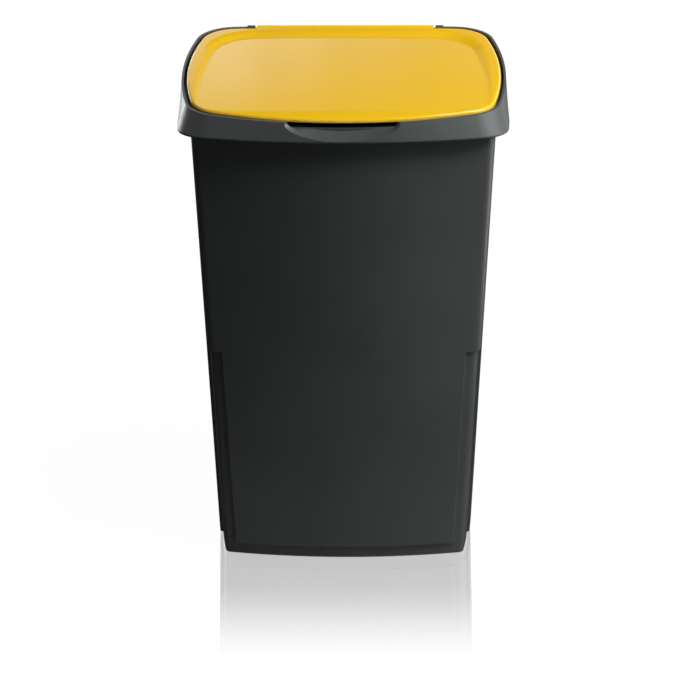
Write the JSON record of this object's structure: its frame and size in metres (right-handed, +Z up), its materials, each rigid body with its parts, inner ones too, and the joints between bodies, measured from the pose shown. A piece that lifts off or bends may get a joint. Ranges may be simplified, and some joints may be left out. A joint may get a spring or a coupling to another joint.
{
  "type": "waste bin",
  "caption": "Free-standing kitchen waste bin: tapered moulded bucket, lift-off top frame with a finger scoop, and a sloping dished lid hinged at the rear.",
  "frame": {"origin": "on the floor, at the middle of the bin's outline seen from above", "axes": "+Z up, -Y towards the front with the finger scoop, +Y towards the rear hinge, +X to the right seen from the front"},
  "size_m": [0.3238, 0.2548, 0.5032],
  "materials": {
    "bucket": "satin anthracite polypropylene",
    "top_frame": "satin anthracite polypropylene",
    "lid": "glossy yellow polypropylene",
    "hinge_pin": "smooth anthracite plastic"
  },
  "bodies": {
    "bucket": {"bucket": "bucket"},
    "frame": {"top_frame": "top_frame", "hinge_pin_left": "hinge_pin", "hinge_pin_right": "hinge_pin"},
    "lid": {"lid": "lid"}
  },
  "joints": [
    {"name": "frame_lift", "type": "slide", "parent": "bucket", "child": "frame", "axis": [0, 0, 1], "range_m": [0, 0.06]},
    {"name": "lid_hinge", "type": "hinge", "parent": "frame", "child": "lid", "pos_m": [0, 0.12118, 0.49866], "axis": [-1, 0, 0], "range_deg": [0, 105]}
  ]
}
